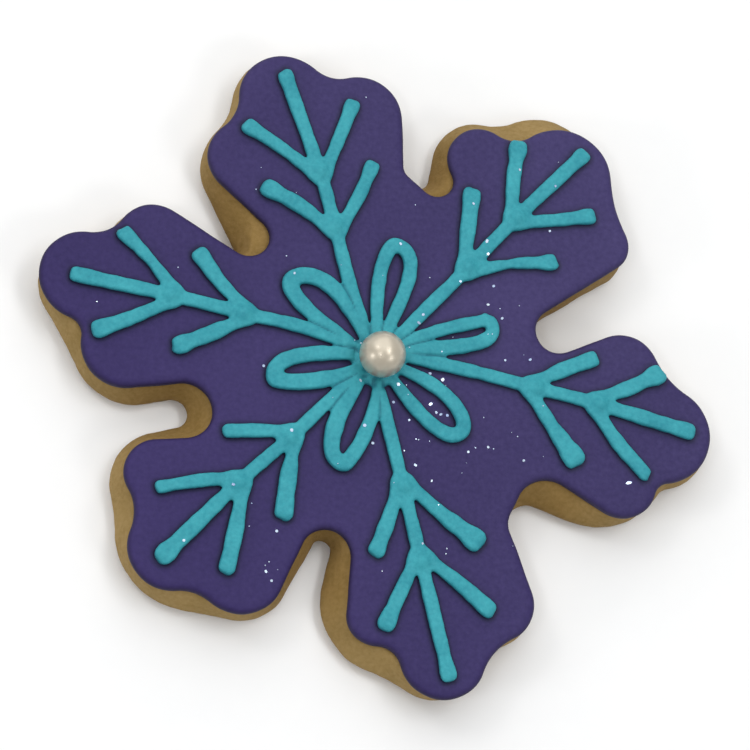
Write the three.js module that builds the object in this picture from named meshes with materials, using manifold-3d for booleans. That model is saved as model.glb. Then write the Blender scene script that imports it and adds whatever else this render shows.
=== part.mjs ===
// An iced sugar cookie: a six-armed snowflake biscuit, a layer of flood icing,
// a piped snowflake with six petal loops, and one sugar pearl at the middle.
// Millimetres, +Z up. The origin is on the flat underside, below the pearl.
import * as THREE from "three";
import { mergeVertices } from "three/addons/utils/BufferGeometryUtils.js";
import Module from "manifold-3d";

const wasm = await Module();
wasm.setup();

// ---- driving sizes, mm ----
const BISCUIT_THICK = 6.2;
const ICING_THICK = 1.5;
const ICING_TOP = BISCUIT_THICK + ICING_THICK;
const PIPING_HIGH = 1.75;
// the piped pattern lies a little off the middle of the cutter's shape
const PIPING_OFF = [0.12, 0.15];
const LINE_WIDTH = 2.1;
const BARB_ROOT = 2.8;
const BARB_WIDTH = 2;
// a barb runs into its stem this much nearer the middle than it points
const ROOT_BACK = 0.8;
const PETAL_HIGH = 1.8;
const PEARL_RADIUS = 3.5;
const PEARL_SEAT = 0.8;
const PEARL_PLAY = 0.3;
const HUB_RADIUS = 1.9;
const BLOB_RADIUS = 4.4;
const BLOB_HIGH = 2.15;

// The baked edge from the underside to the top face: [drawn in by, height, share of the
// ledge]. The ledge is how far the biscuit stands out past its icing, and it slopes.
const BISCUIT_EDGE = [
  [1.3, 0, 0],
  [0.8, 0.3, 0],
  [0.4, 0.95, 0],
  [0.1, 1.8, 0],
  [0, 2.7, 0.04],
  [0.05, 4.6, 0.5],
  [0.2, 5.6, 0.82],
  [0.45, BISCUIT_THICK, 1],
];

// the rounded edge that the icing sets with, from its underside to its top face
const ICING_EDGE = [
  [0.6, BISCUIT_THICK, 0],
  [0.12, BISCUIT_THICK + 0.3, 0],
  [0, BISCUIT_THICK + 0.75, 0],
  [0.28, BISCUIT_THICK + 1.17, 0],
  [0.85, BISCUIT_THICK + 1.42, 0],
  [1.7, ICING_TOP, 0],
];

// how finely round stretches are divided
const ARC_STEP = THREE.MathUtils.degToRad(22);
const LINE_STEP = 5;
const PETAL_STEPS = 16;
const BEAD_SIDES = 6;
const NOSE_STEPS = 3;

// Each arm ends in three scallops. A scallop is a circle: [distance of its centre
// from the middle, turn from the arm's heading in degrees, radius]. The dimples are
// the fillet radii right to tip and tip to left. The bays are the one or two hollow
// curves on to the next arm. A barb is [turn, length, bow to the left, end width,
// neck width].
const ARMS = [
  // east
  {
    heading: -14,
    biscuit: {
      right: [36.5, -4.9, 11.3],
      tip: [45.9, 2.1, 7.3],
      left: [38.2, 14.1, 6.5],
      dimples: [3, 14],
      bays: [[29.7, 26.9, 3.3]],
    },
    icing: {
      right: [41.3, -11.1, 5.4],
      tip: [45, 1.7, 7.7],
      left: [38.3, 14.1, 5.9],
      dimples: [2.6, 12.2],
      bays: [[29.2, 26.2, 3.5]],
    },
    stem: { sway: [2.4, 2.5, 2.7, 2.3], hubs: [23.7, 33.8], tip: 48.7, end: 2.5 },
    inner: { left: [39.9, 10.8, 0.4, 2.5, 2.4], right: [-47.1, 12.6, -0.4, 3.3, 2.1] },
    outer: { left: [40, 11.1, 0, 2.7, 2.3], right: [-42.5, 13, -0.7, 2.1, 2.3] },
  },
  // north east
  {
    heading: 44,
    biscuit: {
      right: [40.4, -14.5, 4.8],
      tip: [42.8, 5.6, 9.4],
      left: [38.1, 17.4, 7.2],
      dimples: [21, 12],
      bays: [[32.7, 31.4, 2.1]],
    },
    icing: {
      right: [41.4, -14.6, 4.3],
      tip: [43, 1.6, 8],
      left: [37.5, 18.2, 5.1],
      dimples: [19.7, 4.8],
      bays: [[31.5, 26.6, 2.7], [32.6, 32.4, 2.2]],
    },
    stem: { sway: [0.7, 0.9, 1.4, 1.4], hubs: [20.6, 32.1], tip: 47.6, end: 2.3 },
    inner: { left: [39.7, 12.2, 0.2, 2.6, 2.5], right: [-36.9, 13.5, 0.3, 2.4, 1.5] },
    outer: { left: [41.1, 11.8, 0.5, 2.5, 2.3], right: [-39.3, 11.9, -0.4, 2.3, 2] },
  },
  // north
  {
    heading: 104.5,
    biscuit: {
      right: [39.3, -12.9, 7.1],
      tip: [44, 2, 7.4],
      left: [35.6, 13.1, 8.6],
      dimples: [5, 10],
      bays: [[28.1, 34.7, 1.2]],
    },
    icing: {
      right: [39.2, -12.8, 6.7],
      tip: [43.5, 2.4, 7.1],
      left: [37.3, 16, 5.9],
      dimples: [5.2, 6.4],
      bays: [[27.2, 29.5, 3.2]],
    },
    stem: { sway: [0.8, 0.5, 0.3, 1.2], hubs: [21.5, 30.4], tip: 46.8, end: 2.3 },
    inner: { left: [44.8, 11.8, -0.2, 2.5, 2.4], right: [-44.9, 11.9, -0.6, 2.2, 2] },
    outer: { left: [42.2, 12.9, 0, 2.4, 1.9], right: [-39.6, 12.5, -0.3, 2.3, 2] },
  },
  // west
  {
    heading: 165,
    biscuit: {
      right: [38, -13.6, 6.3],
      tip: [44.8, -0.9, 7.2],
      left: [36.2, 9.9, 9.3],
      dimples: [5, 60],
      bays: [[31.1, 28.7, 2.2]],
    },
    icing: {
      right: [38, -13.7, 5.7],
      tip: [45.6, -0.7, 6.9],
      left: [38, 12.3, 6.7],
      dimples: [5.9, 2.8],
      bays: [[30.5, 30.5, 4.3]],
    },
    stem: { sway: [-1.8, -1.3, -0.8, 0.3], hubs: [20.9, 32.2], tip: 47.2, end: 2.4 },
    inner: { left: [42, 11.6, 0.4, 2.6, 2.5], right: [-37.9, 11.4, 0.2, 2.7, 2.1] },
    outer: { left: [41.2, 12.7, 0.5, 2.6, 2.1], right: [-38, 12, -0.6, 2.3, 1.7] },
  },
  // south west
  {
    heading: 222,
    biscuit: {
      right: [36.6, -11.5, 8.4],
      tip: [37.8, 1.3, 11.8],
      left: [37.4, 13.9, 8],
      dimples: [40, 60],
      bays: [[29, 31.5, 1.4]],
    },
    icing: {
      right: [37.9, -13.8, 5.2],
      tip: [43.1, 0.7, 6.6],
      left: [38.9, 14.5, 6.7],
      dimples: [7, 6.3],
      bays: [[30.9, 32.1, 3.8]],
    },
    stem: { sway: [-0.3, 0, 0, 0.8], hubs: [18.1, 28.9], tip: 45.4, end: 2.8 },
    inner: { left: [40.2, 12, 0.1, 2.8, 2.6], right: [-44.6, 9.7, -0.4, 2.1, 2.2] },
    outer: { left: [38, 13.5, 0.4, 2.5, 2.4], right: [-36.1, 12.1, -0.5, 1.8, 2.1] },
  },
  // south
  {
    heading: 284,
    biscuit: {
      right: [36.2, -10.7, 10.7],
      tip: [44.2, -3.2, 7],
      left: [39.6, 11.2, 6.6],
      dimples: [40, 8],
      bays: [[33.2, 31.6, 3.2]],
    },
    icing: {
      right: [39, -15.6, 4.6],
      tip: [45.7, -3.1, 6.6],
      left: [40.3, 10.9, 6],
      dimples: [3.4, 10.7],
      bays: [[34.1, 30.1, 4.2], [34, 35.2, 4.9]],
    },
    stem: { sway: [-1.3, -1.6, -2.1, -2.9], hubs: [19.1, 30.8], tip: 49.1, end: 2.2 },
    inner: { left: [37.7, 13.8, 0, 3.3, 2.2], right: [-36.2, 11.3, 0, 2.6, 2.3] },
    outer: { left: [38.7, 12.7, 0.5, 2.7, 2.2], right: [-42.5, 11.6, -0.3, 2.6, 2.2] },
  },
];

// A petal is one loop piped out from the middle and back. Its sides bulge by left
// and right, its point leans over by lean, and round moves the bulge outwards. The
// widths are those of the left side, the point and the right side.
const PETALS = [
  { heading: 43.6, reach: 17.4, left: -0.9, right: 6.5, round: 1.82, lean: -6.53, widths: [1.9, 2.1, 2.5] },
  { heading: 86.9, reach: 18.5, left: 1.8, right: 5.1, round: 2, lean: -2.23, widths: [2, 2.3, 2.1] },
  { heading: 134.3, reach: 17.7, left: 2.6, right: 4.8, round: 1.41, lean: 0.62, widths: [2, 2.7, 2.4] },
  { heading: 200.5, reach: 16, left: 1, right: 4.1, round: 0.63, lean: -2.47, widths: [2.6, 2.5, 2.3] },
  { heading: 263.9, reach: 16.7, left: 0.9, right: 4.7, round: 0.45, lean: -3.93, widths: [2.1, 2.4, 2.9] },
  { heading: 328.3, reach: 16.2, left: 3, right: 4, round: 1.26, lean: -2.26, widths: [2.1, 2.3, 2.1] },
];
const PETAL_START = 3.3;

// ---- outlines made of arcs ----
function polar(distance, degrees) {
  const angle = THREE.MathUtils.degToRad(degrees);
  return new THREE.Vector2(distance * Math.cos(angle), distance * Math.sin(angle));
}

function circle(heading, [distance, turn, radius], bulge) {
  return { centre: polar(distance, heading + turn), radius, bulge };
}

// the hollow circle that touches two scallops from outside
function fillet(first, second, radius) {
  const span = second.centre.clone().sub(first.centre);
  const length = span.length();
  const a = first.radius + radius;
  const b = second.radius + radius;
  const along = (length * length + a * a - b * b) / (2 * length);
  const out = Math.sqrt(Math.max(a * a - along * along, 0));
  const unit = span.divideScalar(length);
  const centre = first.centre.clone().addScaledVector(unit, along);
  centre.addScaledVector(new THREE.Vector2(unit.y, -unit.x), out);
  return { centre, radius, bulge: -1 };
}

// the outward angle at which the outline passes straight from one arc to the next
function crossing(first, second) {
  const span = second.centre.clone().sub(first.centre);
  const rise = second.bulge * second.radius - first.bulge * first.radius;
  const slope = THREE.MathUtils.clamp(rise / span.length(), -0.9999, 0.9999);
  return Math.atan2(span.y, span.x) - Math.asin(slope) - Math.PI / 2;
}

// counterclockwise outline as points, each with its outward direction
function outline(layer) {
  const chain = [];
  for (const arm of ARMS) {
    const form = arm[layer];
    const right = circle(arm.heading, form.right, 1);
    const tip = circle(arm.heading, form.tip, 1);
    const left = circle(arm.heading, form.left, 1);
    chain.push(right, fillet(right, tip, form.dimples[0]));
    chain.push(tip, fillet(tip, left, form.dimples[1]), left);
    chain.push(...form.bays.map((bay) => circle(arm.heading, bay, -1)));
  }
  const points = [];
  chain.forEach((arc, i) => {
    const before = chain[(i + chain.length - 1) % chain.length];
    const after = chain[(i + 1) % chain.length];
    const from = crossing(before, arc);
    const turn = THREE.MathUtils.euclideanModulo((crossing(arc, after) - from) * arc.bulge, 2 * Math.PI);
    const steps = Math.max(1, Math.ceil(turn / ARC_STEP));
    for (let k = 0; k <= steps; k += 1) {
      const angle = from + (arc.bulge * turn * k) / steps;
      const out = new THREE.Vector2(Math.cos(angle), Math.sin(angle));
      const point = arc.centre.clone().addScaledVector(out, arc.radius * arc.bulge);
      points.push({ point, out });
    }
  });
  return points;
}

// ---- closed bodies from rings of points ----
function solid(positions, faces) {
  const geometry = new THREE.BufferGeometry();
  geometry.setAttribute("position", new THREE.Float32BufferAttribute(positions, 3));
  geometry.setIndex(faces);
  return geometry;
}

// rings that follow one another, closed by a flat face at each end
function loft(rings, bottomCap, topCap) {
  const count = rings[0].length;
  const positions = rings.flat().flatMap((p) => [p.x, p.y, p.z]);
  const faces = [];
  for (let r = 0; r + 1 < rings.length; r += 1) {
    for (let i = 0; i < count; i += 1) {
      const a = r * count + i;
      const b = r * count + ((i + 1) % count);
      faces.push(a, b, a + count, b, b + count, a + count);
    }
  }
  const last = (rings.length - 1) * count;
  for (const [a, b, c] of bottomCap) faces.push(a, c, b);
  for (const [a, b, c] of topCap) faces.push(last + a, last + b, last + c);
  return solid(positions, faces);
}

// how far a place stands out past an outline, and 0 inside it
function ledgeAt(place, points) {
  let nearest = Infinity;
  let ledge = 0;
  points.forEach(({ point }, i) => {
    const line = points[(i + 1) % points.length].point.clone().sub(point);
    const gap = place.clone().sub(point);
    const share = THREE.MathUtils.clamp(gap.dot(line) / Math.max(line.lengthSq(), 1e-9), 0, 1);
    gap.addScaledVector(line, -share);
    if (gap.length() < nearest) {
      nearest = gap.length();
      ledge = line.cross(gap) < 0 ? nearest : 0;
    }
  });
  return ledge;
}

function layerSolid(layer, edge) {
  const icing = outline("icing");
  const points = outline(layer).map(({ point, out }) => ({ point, out, ledge: ledgeAt(point, icing) }));
  const rings = edge.map(([inset, height, slope]) =>
    points.map(({ point, out, ledge }) => {
      const p = point.clone().addScaledVector(out, -inset - slope * ledge);
      return new THREE.Vector3(p.x, p.y, height);
    }),
  );
  const [bottomCap, topCap] = [rings.at(0), rings.at(-1)].map((ring) => THREE.ShapeUtils.triangulateShape(ring, []));
  return loft(rings, bottomCap, topCap);
}

// One piped line. Stations are {x, y, width}; the bead is flat below and round above,
// and its ends close in a round nose, apart from an open-ended start.
function bead(stations, high, noses) {
  const rings = [];
  const add = (place, ahead, width, height) => {
    const side = new THREE.Vector2(-ahead.y, ahead.x);
    const ring = [];
    for (let k = 0; k <= BEAD_SIDES; k += 1) {
      const angle = (Math.PI * k) / BEAD_SIDES;
      const p = place.clone().addScaledVector(side, (width / 2) * Math.cos(angle));
      ring.push(new THREE.Vector3(p.x, p.y, ICING_TOP + height * Math.sin(angle)));
    }
    rings.push(ring);
  };
  const nose = (station, ahead, way) => {
    for (let k = 1; k <= NOSE_STEPS; k += 1) {
      const angle = (80 / NOSE_STEPS) * k * THREE.MathUtils.DEG2RAD;
      const reach = way * (station.width / 2) * Math.sin(angle);
      const place = new THREE.Vector2(station.x, station.y).addScaledVector(ahead, reach);
      add(place, ahead, station.width * Math.cos(angle), high * Math.cos(angle) ** 0.7);
    }
  };
  stations.forEach((station, i) => {
    const from = stations[Math.max(i - 1, 0)];
    const to = stations[Math.min(i + 1, stations.length - 1)];
    const ahead = new THREE.Vector2(to.x - from.x, to.y - from.y).normalize();
    if (i === 0 && noses.start) {
      nose(station, ahead, -1);
      rings.reverse();
    }
    add(new THREE.Vector2(station.x, station.y), ahead, station.width, high);
    if (i === stations.length - 1 && noses.end) nose(station, ahead, 1);
  });
  const cap = [];
  for (let k = 1; k < BEAD_SIDES; k += 1) cap.push([0, k, k + 1]);
  return loft(rings, cap, cap);
}

// evenly spaced stations on a smooth curve; widths are eased from one to the next
function stationsAlong(points, widths) {
  const curve = new THREE.CatmullRomCurve3(points.map((p) => new THREE.Vector3(p.x, p.y, 0)));
  const steps = Math.max(2, Math.round(curve.getLength() / LINE_STEP));
  return curve.getSpacedPoints(steps).map((p, i) => ({ x: p.x, y: p.y, width: eased(widths, i / steps) }));
}

function eased(values, share) {
  const place = share * (values.length - 1);
  const i = Math.min(Math.floor(place), values.length - 2);
  return THREE.MathUtils.lerp(values[i], values[i + 1], THREE.MathUtils.smoothstep(place - i, 0, 1));
}

// ---- the piped lines of one arm ----
function armPoint(arm, along, across) {
  const place = polar(along, arm.heading).add(polar(across, arm.heading + 90));
  return place.add(new THREE.Vector2(...PIPING_OFF));
}

// the low mound where the barbs run into the stem
function hubMound(centre) {
  const profile = [
    new THREE.Vector2(0, ICING_TOP),
    new THREE.Vector2(HUB_RADIUS, ICING_TOP),
    new THREE.Vector2(HUB_RADIUS * 0.82, ICING_TOP + PIPING_HIGH * 0.62),
    new THREE.Vector2(HUB_RADIUS * 0.4, ICING_TOP + PIPING_HIGH * 0.98),
    new THREE.Vector2(0, ICING_TOP + PIPING_HIGH * 1.04),
  ];
  return new THREE.LatheGeometry(profile, 7).rotateX(Math.PI / 2).translate(centre.x, centre.y, 0);
}

function armLines(arm) {
  const { sway, hubs, tip, end } = arm.stem;
  const spine = [
    armPoint(arm, PETAL_START, sway[0] * 0.75),
    armPoint(arm, hubs[0] * 0.6, sway[0]),
    armPoint(arm, hubs[0], sway[1]),
    armPoint(arm, hubs[1], sway[2]),
    armPoint(arm, tip, sway[3]),
  ];
  const widths = [LINE_WIDTH, LINE_WIDTH, LINE_WIDTH, LINE_WIDTH, LINE_WIDTH, (LINE_WIDTH + end) / 2, end];
  const lines = [bead(stationsAlong(spine, widths), PIPING_HIGH, { start: false, end: true })];
  const forks = [arm.inner, arm.outer];
  forks.forEach((fork, i) => {
    const hub = spine[2 + i];
    lines.push(hubMound(hub.clone().add(polar(0.4, arm.heading))));
    for (const [turn, length, bow, tipWidth, neck] of [fork.left, fork.right]) {
      const heading = arm.heading + turn;
      const reach = (share) => hub.clone().add(polar(0.5 + share * (length - 0.5), heading));
      const root = reach(0).sub(polar(ROOT_BACK, arm.heading));
      const points = [root, reach(0.5).add(polar(bow, heading + 90)), reach(1)];
      const barbWidths = [BARB_ROOT, BARB_WIDTH, neck, (neck + tipWidth) / 2, tipWidth];
      lines.push(bead(stationsAlong(points, barbWidths), PIPING_HIGH, { start: true, end: true }));
    }
  });
  return lines;
}

function petalLine(petal) {
  const { heading, reach, left, right, round, lean, widths } = petal;
  const inner = Math.acos(1 - (2 * PETAL_START) / reach) / (2 * Math.PI);
  const stations = [];
  for (let k = 0; k <= PETAL_STEPS; k += 1) {
    const share = inner + ((1 - 2 * inner) * k) / PETAL_STEPS;
    const along = (reach * (1 - Math.cos(2 * Math.PI * share))) / 2;
    const swing = Math.sin(2 * Math.PI * share) * Math.sin(Math.PI * share) ** round;
    const across = swing * (swing > 0 ? left : right) + lean * (along / reach) ** 2;
    const place = polar(along, heading).add(polar(across, heading + 90));
    stations.push({ x: place.x + PIPING_OFF[0], y: place.y + PIPING_OFF[1], width: eased(widths, share) });
  }
  return bead(stations, PETAL_HIGH, { start: false, end: false });
}

// the blob at the middle, with a seat for the pearl
function centreBlob() {
  const seatFloor = ICING_TOP + PEARL_SEAT;
  const pearlCentre = seatFloor + PEARL_RADIUS;
  const rim = ICING_TOP + BLOB_HIGH;
  const seatRadius = (height) => Math.sqrt((PEARL_RADIUS + PEARL_PLAY) ** 2 - (pearlCentre - height) ** 2);
  const profile = [
    new THREE.Vector2(0, ICING_TOP),
    new THREE.Vector2(BLOB_RADIUS - 0.1, ICING_TOP),
    new THREE.Vector2(BLOB_RADIUS, ICING_TOP + 0.45),
    new THREE.Vector2(BLOB_RADIUS - 0.35, ICING_TOP + 1.3),
    new THREE.Vector2(BLOB_RADIUS - 1.05, rim - 0.2),
    new THREE.Vector2(seatRadius(rim) + 0.3, rim),
    new THREE.Vector2(seatRadius(rim - 0.2), rim - 0.2),
    new THREE.Vector2(seatRadius(rim - 0.8), rim - 0.8),
    new THREE.Vector2(seatRadius(seatFloor), seatFloor),
    new THREE.Vector2(0, seatFloor),
  ];
  return new THREE.LatheGeometry(profile, 24).rotateX(Math.PI / 2);
}

// ---- joining the lines into one body ----
function toBody(geometry) {
  const bare = geometry.clone();
  bare.deleteAttribute("normal");
  bare.deleteAttribute("uv");
  const merged = mergeVertices(bare, 1e-4);
  const mesh = new wasm.Mesh({
    numProp: 3,
    vertProperties: new Float32Array(merged.attributes.position.array),
    triVerts: new Uint32Array(merged.index.array),
  });
  return new wasm.Manifold(mesh);
}

function joined(geometries) {
  const body = geometries.map(toBody).reduce((all, next) => all.add(next));
  const mesh = body.getMesh();
  return solid(Array.from(mesh.vertProperties), Array.from(mesh.triVerts));
}

// ---- the cookie ----
function named(name, geometry, color, roughness) {
  geometry.computeVertexNormals();
  const mesh = new THREE.Mesh(geometry, new THREE.MeshStandardMaterial({ color, roughness, metalness: 0 }));
  mesh.name = name;
  return mesh;
}

const cookie = new THREE.Group();
const piping = [centreBlob(), ...ARMS.flatMap(armLines), ...PETALS.map(petalLine)];
const pearlShape = new THREE.SphereGeometry(PEARL_RADIUS, 22, 13).rotateX(Math.PI / 2);
const pearl = named("sugar_pearl", pearlShape, 0xd9ccb4, 0.3);
pearl.position.z = ICING_TOP + PEARL_SEAT + PEARL_RADIUS;
cookie.add(named("biscuit", layerSolid("biscuit", BISCUIT_EDGE), 0xa98a55, 0.85));
cookie.add(named("flood_icing", layerSolid("icing", ICING_EDGE), 0x443c68, 0.55));
cookie.add(named("piping", joined(piping), 0x44a3b0, 0.55));
cookie.add(pearl);

export default cookie;
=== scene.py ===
"""An iced sugar cookie: baked snowflake biscuit, purple flood icing, turquoise
piping, one sugar pearl, and a dusting of edible glitter."""

import math
import random

import bpy
import numpy as np
from mathutils import Matrix, Vector, geometry, kdtree, noise


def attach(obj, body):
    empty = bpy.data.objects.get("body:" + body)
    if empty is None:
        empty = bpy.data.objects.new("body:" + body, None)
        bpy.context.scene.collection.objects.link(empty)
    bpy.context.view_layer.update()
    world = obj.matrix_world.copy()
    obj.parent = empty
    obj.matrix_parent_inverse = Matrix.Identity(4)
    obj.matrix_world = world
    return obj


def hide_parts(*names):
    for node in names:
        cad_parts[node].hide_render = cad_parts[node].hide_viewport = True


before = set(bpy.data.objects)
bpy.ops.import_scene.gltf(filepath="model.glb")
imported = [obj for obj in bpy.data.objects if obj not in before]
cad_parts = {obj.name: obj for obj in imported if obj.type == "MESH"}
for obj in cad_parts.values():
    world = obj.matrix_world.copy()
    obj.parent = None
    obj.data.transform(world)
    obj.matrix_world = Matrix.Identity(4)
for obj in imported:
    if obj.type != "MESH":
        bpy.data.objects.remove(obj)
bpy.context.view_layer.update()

MM = 0.001

# ---- the cookie's sizes, mm ----
BISCUIT_THICK = 6.2
ICING_TOP = 7.7
PIPING_HIGH = 1.75
PETAL_HIGH = 1.8
LINE_WIDTH = 2.1
BARB_ROOT = 2.8
BARB_WIDTH = 2.0
ROOT_BACK = 0.8
PIPING_OFF = Vector((0.12, 0.15))
PETAL_START = 3.3
PEARL_RADIUS = 3.5
PEARL_CENTRE = ICING_TOP + 0.8 + PEARL_RADIUS
# low mounds of icing: one under the pearl, and one in each fork, a little ahead of it
BLOB_RADIUS = 4.0
BLOB_HIGH = 1.6
FORK_RADII = (1.85, 1.8)
FORK_HIGH = PIPING_HIGH * 1.03
FORK_AHEAD = 0.45
FORK_REACH = 3.2
# the bead's section: points round it, how far its sides tuck under, how flat its top is
BEAD_POINTS = 18
UNDERCUT = 0.55
FULLNESS = 0.9
SUNK = 0.15
FUSED_GRAIN = 0.245
# the creases where lines lie side by side round the middle
CREASED_WITHIN = 13.0
CREASE_DEEP = 0.3
# spacing of the icing's fine points along the piping
FINE_SPACING = 0.26
# flakes wider than this lie lengthwise
LONG_FLAKE = 0.65
FLAKE_THICK = 0.045

# [drawn in by, height] up the baked edge
BISCUIT_EDGE = [
    (1.3, 0.0), (0.95, 0.1), (0.72, 0.35), (0.4, 0.95), (0.22, 1.4), (0.1, 1.8), (0.03, 2.25),
    (0.0, 2.7), (0.01, 3.2), (0.03, 3.75), (0.06, 4.3), (0.1, 4.8), (0.17, 5.3), (0.26, 5.65),
    (0.36, 5.92), (0.48, 6.1), (0.7, 6.2), (1.8, 6.22),
]
# where the biscuit stands out past its icing, that ledge slopes up from this height
LEDGE_FROM = 2.5
# [drawn in by, height] up the icing's rounded edge and over its low rim
ICING_EDGE = [
    (0.95, 6.1), (0.6, 6.14), (0.34, 6.22), (0.15, 6.4), (0.04, 6.62), (0.0, 6.86), (0.04, 7.08),
    (0.15, 7.28), (0.33, 7.46), (0.58, 7.6), (0.9, 7.69), (1.25, 7.74), (1.7, 7.75),
    (2.2, 7.725), (2.8, 7.7),
]

# The arms, anticlockwise from the one at the right. Scallops, dimples and bays as
# circles: (distance, turn from the heading, radius). Barbs: (turn, length, bow, end, neck).
ARMS = [
    {
        "heading": -14,
        "biscuit": [(36.5, -4.9, 11.3), (45.9, 2.1, 7.3), (38.2, 14.1, 6.5), (3, 14), [(29.7, 26.9, 3.3)]],
        "icing": [(41.3, -11.1, 5.4), (45, 1.7, 7.7), (38.3, 14.1, 5.9), (2.6, 12.2), [(29.2, 26.2, 3.5)]],
        "stem": [(2.4, 2.5, 2.7, 2.3), (23.7, 33.8), 48.7, 2.5],
        "inner": [(39.9, 10.8, 0.4, 2.5, 2.4), (-47.1, 12.6, -0.4, 3.3, 2.1)],
        "outer": [(40, 11.1, 0, 2.7, 2.3), (-42.5, 13, -0.7, 2.1, 2.3)],
    },
    {
        "heading": 44,
        "biscuit": [(40.4, -14.5, 4.8), (42.8, 5.6, 9.4), (38.1, 17.4, 7.2), (21, 12), [(32.7, 31.4, 2.1)]],
        "icing": [(41.4, -14.6, 4.3), (43, 1.6, 8), (37.5, 18.2, 5.1), (19.7, 4.8),
                  [(31.5, 26.6, 2.7), (32.6, 32.4, 2.2)]],
        "stem": [(0.7, 0.9, 1.4, 1.4), (20.6, 32.1), 47.6, 2.3],
        "inner": [(39.7, 12.2, 0.2, 2.6, 2.5), (-36.9, 13.5, 0.3, 2.4, 1.5)],
        "outer": [(41.1, 11.8, 0.5, 2.5, 2.3), (-39.3, 11.9, -0.4, 2.3, 2)],
    },
    {
        "heading": 104.5,
        "biscuit": [(39.3, -12.9, 7.1), (44, 2, 7.4), (35.6, 13.1, 8.6), (5, 10), [(28.1, 34.7, 1.2)]],
        "icing": [(39.2, -12.8, 6.7), (43.5, 2.4, 7.1), (37.3, 16, 5.9), (5.2, 6.4), [(27.2, 29.5, 3.2)]],
        "stem": [(0.8, 0.5, 0.3, 1.2), (21.5, 30.4), 46.8, 2.3],
        "inner": [(44.8, 11.8, -0.2, 2.5, 2.4), (-44.9, 11.9, -0.6, 2.2, 2)],
        "outer": [(42.2, 12.9, 0, 2.4, 1.9), (-39.6, 12.5, -0.3, 2.3, 2)],
    },
    {
        "heading": 165,
        "biscuit": [(38, -13.6, 6.3), (44.8, -0.9, 7.2), (36.2, 9.9, 9.3), (5, 60), [(31.1, 28.7, 2.2)]],
        "icing": [(38, -13.7, 5.7), (45.6, -0.7, 6.9), (38, 12.3, 6.7), (5.9, 2.8), [(30.5, 30.5, 4.3)]],
        "stem": [(-1.8, -1.3, -0.8, 0.3), (20.9, 32.2), 47.2, 2.4],
        "inner": [(42, 11.6, 0.4, 2.6, 2.5), (-37.9, 11.4, 0.2, 2.7, 2.1)],
        "outer": [(41.2, 12.7, 0.5, 2.6, 2.1), (-38, 12, -0.6, 2.3, 1.7)],
    },
    {
        "heading": 222,
        "biscuit": [(36.6, -11.5, 8.4), (37.8, 1.3, 11.8), (37.4, 13.9, 8), (40, 60), [(29, 31.5, 1.4)]],
        "icing": [(37.9, -13.8, 5.2), (43.1, 0.7, 6.6), (38.9, 14.5, 6.7), (7, 6.3), [(30.9, 32.1, 3.8)]],
        "stem": [(-0.3, 0, 0, 0.8), (18.1, 28.9), 45.4, 2.8],
        "inner": [(40.2, 12, 0.1, 2.8, 2.6), (-44.6, 9.7, -0.4, 2.1, 2.2)],
        "outer": [(38, 13.5, 0.4, 2.5, 2.4), (-36.1, 12.1, -0.5, 1.8, 2.1)],
    },
    {
        "heading": 284,
        "biscuit": [(36.2, -10.7, 10.7), (44.2, -3.2, 7), (39.6, 11.2, 6.6), (40, 8), [(33.2, 31.6, 3.2)]],
        "icing": [(39, -15.6, 4.6), (45.7, -3.1, 6.6), (40.3, 10.9, 6), (3.4, 10.7),
                  [(34.1, 30.1, 4.2), (34, 35.2, 4.9)]],
        "stem": [(-1.3, -1.6, -2.1, -2.9), (19.1, 30.8), 49.1, 2.2],
        "inner": [(37.7, 13.8, 0, 3.3, 2.2), (-36.2, 11.3, 0, 2.6, 2.3)],
        "outer": [(38.7, 12.7, 0.5, 2.7, 2.2), (-42.5, 11.6, -0.3, 2.6, 2.2)],
    },
]

# Petals: heading, reach, left and right bulge, roundness, lean, widths round the loop.
PETALS = [
    (43.6, 17.4, -0.9, 6.5, 1.82, -6.53, (1.9, 2.1, 2.5)),
    (86.9, 18.5, 1.8, 5.1, 2, -2.23, (2, 2.3, 2.1)),
    (134.3, 17.7, 2.6, 4.8, 1.41, 0.62, (2, 2.7, 2.4)),
    (200.5, 16, 1, 4.1, 0.63, -2.47, (2.6, 2.5, 2.3)),
    (263.9, 16.7, 0.9, 4.7, 0.45, -3.93, (2.1, 2.4, 2.9)),
    (328.3, 16.2, 3, 4, 1.26, -2.26, (2.1, 2.3, 2.1)),
]


# ---- outlines made of arcs ----
def polar(distance, degrees):
    angle = math.radians(degrees)
    return Vector((distance * math.cos(angle), distance * math.sin(angle)))


def hollow_between(first, second, radius):
    """The hollow circle that touches two scallops from outside."""
    (c1, r1, _), (c2, r2, _) = first, second
    span = c2 - c1
    length = span.length
    a, b = r1 + radius, r2 + radius
    along = (length * length + a * a - b * b) / (2 * length)
    out = math.sqrt(max(a * a - along * along, 0.0))
    unit = span / length
    return (c1 + unit * along + Vector((unit.y, -unit.x)) * out, radius, -1)


def crossing(first, second):
    (c1, r1, b1), (c2, r2, b2) = first, second
    span = c2 - c1
    slope = max(-0.9999, min(0.9999, (b2 * r2 - b1 * r1) / span.length))
    return math.atan2(span.y, span.x) - math.asin(slope) - math.pi / 2


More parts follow.
